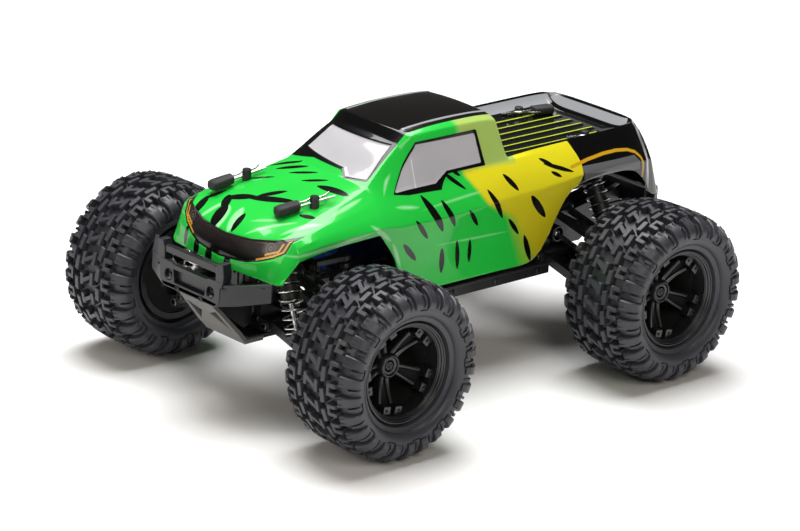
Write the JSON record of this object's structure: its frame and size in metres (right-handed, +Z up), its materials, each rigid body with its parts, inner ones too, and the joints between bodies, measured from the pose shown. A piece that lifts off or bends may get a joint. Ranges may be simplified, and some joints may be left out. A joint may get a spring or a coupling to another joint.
{
  "type": "rc monster truck",
  "caption": "Radio-controlled monster truck with a glossy pickup shell, big lugged tyres, sprung wishbone suspension and steered front wheels.",
  "frame": {"origin": "on the ground under the middle of the truck in length and width", "axes": "+X to the left side of the truck, -Y to the front, +Z up"},
  "size_m": [0.222, 0.301, 0.135],
  "materials": {
    "tyre_rubber": "matt dark grey-blue moulded rubber",
    "rim_plastic": "black moulded plastic, satin",
    "steel": "turned steel",
    "spring_steel": "bright spring wire",
    "chassis_plastic": "black fine-grained moulded nylon",
    "bumper_plastic": "charcoal moulded plastic",
    "skid_plastic": "light grey moulded plastic",
    "body_lexan": "glossy printed clear sheet, bright green with yellow, black and grey areas",
    "motor_can": "drawn steel can",
    "brass": "brass",
    "gear_nylon": "dark nylon",
    "battery_wrap": "blue shrink wrap",
    "damper_plastic": "black moulded damper plastic"
  },
  "bodies": {
    "chassis": {"chassis": "chassis_plastic", "body_shell": "body_lexan", "front_bumper": "bumper_plastic", "skid_plate": "skid_plastic", "rear_bumper": "bumper_plastic", "front_bulkhead": "chassis_plastic", "rear_bulkhead": "chassis_plastic", "motor": "motor_can", "battery": "battery_wrap", "speed_controller": "chassis_plastic", "steering_servo": "chassis_plastic"},
    "front_left_lower_arm": {"front_left_lower_arm": "chassis_plastic"},
    "front_left_upper_arm": {"front_left_upper_arm": "chassis_plastic"},
    "front_left_half_shaft": {"front_left_half_shaft": "steel"},
    "front_left_hub_carrier": {"front_left_hub_carrier": "chassis_plastic"},
    "front_left_shock_body": {"front_left_shock_body": "damper_plastic", "front_left_spring": "spring_steel"},
    "front_left_shock_rod": {"front_left_shock_rod": "damper_plastic"},
    "front_left_wheel": {"front_left_tyre": "tyre_rubber", "front_left_rim": "rim_plastic", "front_left_axle": "steel"},
    "front_left_steering_knuckle": {"front_left_steering_knuckle": "chassis_plastic"},
    "front_right_lower_arm": {"front_right_lower_arm": "chassis_plastic"},
    "front_right_upper_arm": {"front_right_upper_arm": "chassis_plastic"},
    "front_right_half_shaft": {"front_right_half_shaft": "steel"},
    "front_right_hub_carrier": {"front_right_hub_carrier": "chassis_plastic"},
    "front_right_shock_body": {"front_right_shock_body": "damper_plastic", "front_right_spring": "spring_steel"},
    "front_right_shock_rod": {"front_right_shock_rod": "damper_plastic"},
    "front_right_wheel": {"front_right_tyre": "tyre_rubber", "front_right_rim": "rim_plastic", "front_right_axle": "steel"},
    "front_right_steering_knuckle": {"front_right_steering_knuckle": "chassis_plastic"},
    "rear_left_lower_arm": {"rear_left_lower_arm": "chassis_plastic"},
    "rear_left_upper_arm": {"rear_left_upper_arm": "chassis_plastic"},
    "rear_left_half_shaft": {"rear_left_half_shaft": "steel"},
    "rear_left_hub_carrier": {"rear_left_hub_carrier": "chassis_plastic"},
    "rear_left_shock_body": {"rear_left_shock_body": "damper_plastic", "rear_left_spring": "spring_steel"},
    "rear_left_shock_rod": {"rear_left_shock_rod": "damper_plastic"},
    "rear_left_wheel": {"rear_left_tyre": "tyre_rubber", "rear_left_rim": "rim_plastic", "rear_left_axle": "steel"},
    "rear_right_lower_arm": {"rear_right_lower_arm": "chassis_plastic"},
    "rear_right_upper_arm": {"rear_right_upper_arm": "chassis_plastic"},
    "rear_right_half_shaft": {"rear_right_half_shaft": "steel"},
    "rear_right_hub_carrier": {"rear_right_hub_carrier": "chassis_plastic"},
    "rear_right_shock_body": {"rear_right_shock_body": "damper_plastic", "rear_right_spring": "spring_steel"},
    "rear_right_shock_rod": {"rear_right_shock_rod": "damper_plastic"},
    "rear_right_wheel": {"rear_right_tyre": "tyre_rubber", "rear_right_rim": "rim_plastic", "rear_right_axle": "steel"},
    "steering_link": {"steering_link": "gear_nylon"},
    "servo_horn": {"servo_horn": "gear_nylon"},
    "tie_rod_left": {"tie_rod_left": "chassis_plastic"},
    "tie_rod_right": {"tie_rod_right": "chassis_plastic"},
    "drive": {"spur_gear": "gear_nylon", "centre_shaft": "steel"},
    "pinion": {"pinion": "brass"}
  },
  "joints": [
    {"name": "front_left_suspension", "type": "hinge", "parent": "chassis", "child": "front_left_lower_arm", "pos_m": [0.015, -0.1015, 0.0443], "axis": [0, -1, 0], "range_deg": [-5, 25], "stiffness_Nm_per_rad": 0.24, "springref_deg": -17.19},
    {"name": "front_left_upper_arm_swing", "type": "hinge", "parent": "chassis", "child": "front_left_upper_arm", "pos_m": [0.015, -0.1015, 0.0687], "axis": [0, -1, 0], "range_deg": [-5, 25]},
    {"name": "front_left_half_shaft_swing", "type": "hinge", "parent": "chassis", "child": "front_left_half_shaft", "pos_m": [0.015, -0.1015, 0.0547], "axis": [0, -1, 0], "range_deg": [-5, 25]},
    {"name": "front_left_carrier_pivot", "type": "hinge", "parent": "front_left_lower_arm", "child": "front_left_hub_carrier", "pos_m": [0.0569, -0.1015, 0.0346], "axis": [0, -1, 0], "range_deg": [-25, 5]},
    {"name": "front_left_shock_tilt", "type": "hinge", "parent": "chassis", "child": "front_left_shock_body", "pos_m": [0.024, -0.116, 0.0915], "axis": [0, -1, 0], "range_deg": [-1.22, 5.33]},
    {"name": "front_left_shock_stroke", "type": "slide", "parent": "front_left_shock_body", "child": "front_left_shock_rod", "axis": [-0.3905, 0, 0.9206], "range_m": [-0.00268, 0.01259], "deforming": ["front_left_spring"]},
    {"name": "front_left_steering", "type": "hinge", "parent": "front_left_hub_carrier", "child": "front_left_steering_knuckle", "pos_m": [0.0569, -0.1015, 0.045], "axis": [0, 0, 1], "range_deg": [-21, 21], "stiffness_Nm_per_rad": 0.05},
    {"name": "front_left_wheel_spin", "type": "hinge", "parent": "front_left_steering_knuckle", "child": "front_left_wheel", "pos_m": [0.086, -0.1015, 0.045], "axis": [1, 0, 0], "continuous": true},
    {"name": "front_right_suspension", "type": "hinge", "parent": "chassis", "child": "front_right_lower_arm", "pos_m": [-0.015, -0.1015, 0.0443], "axis": [0, 1, 0], "range_deg": [-5, 25], "stiffness_Nm_per_rad": 0.24, "springref_deg": -17.19},
    {"name": "front_right_upper_arm_swing", "type": "hinge", "parent": "chassis", "child": "front_right_upper_arm", "pos_m": [-0.015, -0.1015, 0.0687], "axis": [0, 1, 0], "range_deg": [-5, 25]},
    {"name": "front_right_half_shaft_swing", "type": "hinge", "parent": "chassis", "child": "front_right_half_shaft", "pos_m": [-0.015, -0.1015, 0.0547], "axis": [0, 1, 0], "range_deg": [-5, 25]},
    {"name": "front_right_carrier_pivot", "type": "hinge", "parent": "front_right_lower_arm", "child": "front_right_hub_carrier", "pos_m": [-0.0569, -0.1015, 0.0346], "axis": [0, 1, 0], "range_deg": [-25, 5]},
    {"name": "front_right_shock_tilt", "type": "hinge", "parent": "chassis", "child": "front_right_shock_body", "pos_m": [-0.024, -0.116, 0.0915], "axis": [0, 1, 0], "range_deg": [-1.22, 5.33]},
    {"name": "front_right_shock_stroke", "type": "slide", "parent": "front_right_shock_body", "child": "front_right_shock_rod", "axis": [0.3905, 0, 0.9206], "range_m": [-0.00268, 0.01259], "deforming": ["front_right_spring"]},
    {"name": "front_right_steering", "type": "hinge", "parent": "front_right_hub_carrier", "child": "front_right_steering_knuckle", "pos_m": [-0.0569, -0.1015, 0.045], "axis": [0, 0, 1], "range_deg": [-21, 21]},
    {"name": "front_right_wheel_spin", "type": "hinge", "parent": "front_right_steering_knuckle", "child": "front_right_wheel", "pos_m": [-0.086, -0.1015, 0.045], "axis": [1, 0, 0], "continuous": true},
    {"name": "rear_left_suspension", "type": "hinge", "parent": "chassis", "child": "rear_left_lower_arm", "pos_m": [0.015, 0.0845, 0.0443], "axis": [0, -1, 0], "range_deg": [-5, 25], "stiffness_Nm_per_rad": 0.24, "springref_deg": -17.19},
    {"name": "rear_left_upper_arm_swing", "type": "hinge", "parent": "chassis", "child": "rear_left_upper_arm", "pos_m": [0.015, 0.0845, 0.0687], "axis": [0, -1, 0], "range_deg": [-5, 25]},
    {"name": "rear_left_half_shaft_swing", "type": "hinge", "parent": "chassis", "child": "rear_left_half_shaft", "pos_m": [0.015, 0.0845, 0.0547], "axis": [0, -1, 0], "range_deg": [-5, 25]},
    {"name": "rear_left_carrier_pivot", "type": "hinge", "parent": "rear_left_lower_arm", "child": "rear_left_hub_carrier", "pos_m": [0.0569, 0.0845, 0.0346], "axis": [0, -1, 0], "range_deg": [-25, 5]},
    {"name": "rear_left_shock_tilt", "type": "hinge", "parent": "chassis", "child": "rear_left_shock_body", "pos_m": [0.02, 0.099, 0.092], "axis": [0, -1, 0], "range_deg": [-1.35, 5.95]},
    {"name": "rear_left_shock_stroke", "type": "slide", "parent": "rear_left_shock_body", "child": "rear_left_shock_rod", "axis": [-0.4981, 0, 0.8671], "range_m": [-0.00278, 0.01312], "deforming": ["rear_left_spring"]},
    {"name": "rear_left_wheel_spin", "type": "hinge", "parent": "rear_left_hub_carrier", "child": "rear_left_wheel", "pos_m": [0.086, 0.0845, 0.045], "axis": [1, 0, 0], "continuous": true},
    {"name": "rear_right_suspension", "type": "hinge", "parent": "chassis", "child": "rear_right_lower_arm", "pos_m": [-0.015, 0.0845, 0.0443], "axis": [0, 1, 0], "range_deg": [-5, 25], "stiffness_Nm_per_rad": 0.24, "springref_deg": -17.19},
    {"name": "rear_right_upper_arm_swing", "type": "hinge", "parent": "chassis", "child": "rear_right_upper_arm", "pos_m": [-0.015, 0.0845, 0.0687], "axis": [0, 1, 0], "range_deg": [-5, 25]},
    {"name": "rear_right_half_shaft_swing", "type": "hinge", "parent": "chassis", "child": "rear_right_half_shaft", "pos_m": [-0.015, 0.0845, 0.0547], "axis": [0, 1, 0], "range_deg": [-5, 25]},
    {"name": "rear_right_carrier_pivot", "type": "hinge", "parent": "rear_right_lower_arm", "child": "rear_right_hub_carrier", "pos_m": [-0.0569, 0.0845, 0.0346], "axis": [0, 1, 0], "range_deg": [-25, 5]},
    {"name": "rear_right_shock_tilt", "type": "hinge", "parent": "chassis", "child": "rear_right_shock_body", "pos_m": [-0.02, 0.099, 0.092], "axis": [0, 1, 0], "range_deg": [-1.35, 5.95]},
    {"name": "rear_right_shock_stroke", "type": "slide", "parent": "rear_right_shock_body", "child": "rear_right_shock_rod", "axis": [0.4981, 0, 0.8671], "range_m": [-0.00278, 0.01312], "deforming": ["rear_right_spring"]},
    {"name": "rear_right_wheel_spin", "type": "hinge", "parent": "rear_right_hub_carrier", "child": "rear_right_wheel", "pos_m": [-0.086, 0.0845, 0.045], "axis": [1, 0, 0], "continuous": true},
    {"name": "steering_link_slide", "type": "slide", "parent": "chassis", "child": "steering_link", "axis": [1, 0, 0], "range_m": [-0.0066, 0.0066]},
    {"name": "servo_horn_turn", "type": "hinge", "parent": "chassis", "child": "servo_horn", "pos_m": [0.00975, -0.06, 0.068], "axis": [0, 0, 1], "range_deg": [-21, 21]},
    {"name": "tie_rod_left_swing", "type": "hinge", "parent": "steering_link", "child": "tie_rod_left", "pos_m": [0.015, -0.0845, 0.0643], "axis": [0, -1, 0], "range_deg": [-5, 25]},
    {"name": "tie_rod_right_swing", "type": "hinge", "parent": "steering_link", "child": "tie_rod_right", "pos_m": [-0.015, -0.0845, 0.0643], "axis": [0, 1, 0], "range_deg": [-5, 25]},
    {"name": "drive_turn", "type": "hinge", "parent": "chassis", "child": "drive", "pos_m": [0, 0.056, 0.0555], "axis": [0, 1, 0], "continuous": true},
    {"name": "pinion_turn", "type": "hinge", "parent": "chassis", "child": "pinion", "pos_m": [0.0165, 0.056, 0.0627], "axis": [0, 1, 0], "continuous": true}
  ],
  "couplings": [
    {"joint": "front_left_upper_arm_swing", "follows": "front_left_suspension", "ratio": 1},
    {"joint": "front_left_half_shaft_swing", "follows": "front_left_suspension", "ratio": 1},
    {"joint": "front_left_carrier_pivot", "follows": "front_left_suspension", "ratio": -1},
    {"joint": "front_left_shock_tilt", "follows": "front_left_suspension", "ratio": 0.205},
    {"joint": "front_left_shock_stroke", "follows": "front_left_suspension", "m_per_rad": 0.0284},
    {"joint": "front_right_upper_arm_swing", "follows": "front_right_suspension", "ratio": 1},
    {"joint": "front_right_half_shaft_swing", "follows": "front_right_suspension", "ratio": 1},
    {"joint": "front_right_carrier_pivot", "follows": "front_right_suspension", "ratio": -1},
    {"joint": "front_right_shock_tilt", "follows": "front_right_suspension", "ratio": 0.205},
    {"joint": "front_right_shock_stroke", "follows": "front_right_suspension", "m_per_rad": 0.0284},
    {"joint": "front_right_steering", "follows": "front_left_steering", "ratio": 1},
    {"joint": "rear_left_upper_arm_swing", "follows": "rear_left_suspension", "ratio": 1},
    {"joint": "rear_left_half_shaft_swing", "follows": "rear_left_suspension", "ratio": 1},
    {"joint": "rear_left_carrier_pivot", "follows": "rear_left_suspension", "ratio": -1},
    {"joint": "rear_left_shock_tilt", "follows": "rear_left_suspension", "ratio": 0.23},
    {"joint": "rear_left_shock_stroke", "follows": "rear_left_suspension", "m_per_rad": 0.0296},
    {"joint": "rear_right_upper_arm_swing", "follows": "rear_right_suspension", "ratio": 1},
    {"joint": "rear_right_half_shaft_swing", "follows": "rear_right_suspension", "ratio": 1},
    {"joint": "rear_right_carrier_pivot", "follows": "rear_right_suspension", "ratio": -1},
    {"joint": "rear_right_shock_tilt", "follows": "rear_right_suspension", "ratio": 0.23},
    {"joint": "rear_right_shock_stroke", "follows": "rear_right_suspension", "m_per_rad": 0.0296},
    {"joint": "steering_link_slide", "follows": "front_left_steering", "m_per_rad": -0.0172},
    {"joint": "servo_horn_turn", "follows": "front_left_steering", "ratio": -1},
    {"joint": "tie_rod_left_swing", "follows": "front_left_suspension", "ratio": 1},
    {"joint": "tie_rod_right_swing", "follows": "front_right_suspension", "ratio": 1},
    {"joint": "pinion_turn", "follows": "drive_turn", "ratio": -3.0909}
  ]
}
